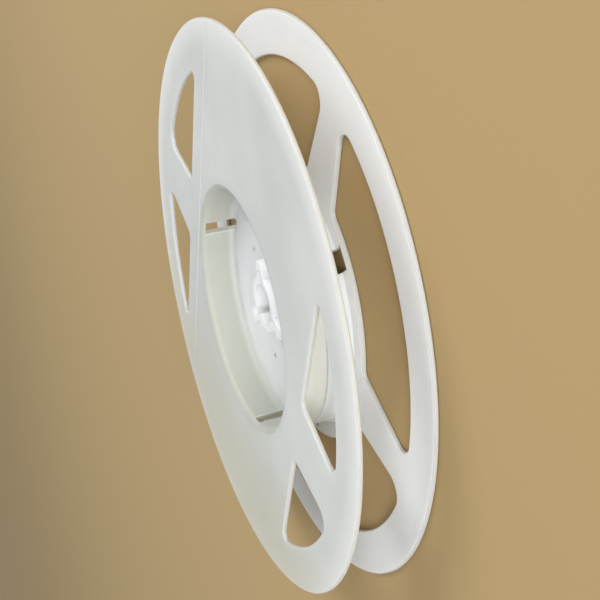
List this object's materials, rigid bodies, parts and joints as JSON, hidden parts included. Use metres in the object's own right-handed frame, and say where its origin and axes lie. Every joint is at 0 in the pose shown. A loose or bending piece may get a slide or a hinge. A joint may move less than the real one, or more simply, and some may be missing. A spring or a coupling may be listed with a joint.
{
  "type": "carrier tape reel",
  "caption": "Milky plastic reel for surface-mount carrier tape: flanges with window cut-outs, a recessed snap-together hub and a keyed arbor hole.",
  "frame": {"origin": "on the reel's axis, in the plane of the window-side flange's outer face, on which the reel lies", "axes": "+Z along the axis, out of the label side; +X and +Y in the plane of the flange, with the label band along the line between +X and +Y"},
  "size_m": [0.178, 0.178, 0.0223],
  "materials": {
    "label_half_plastic": "semi-gloss, milky",
    "window_half_plastic": "semi-gloss, milky"
  },
  "bodies": {
    "root": {"label_side_half": "label_half_plastic", "window_side_half": "window_half_plastic"}
  },
  "joints": []
}
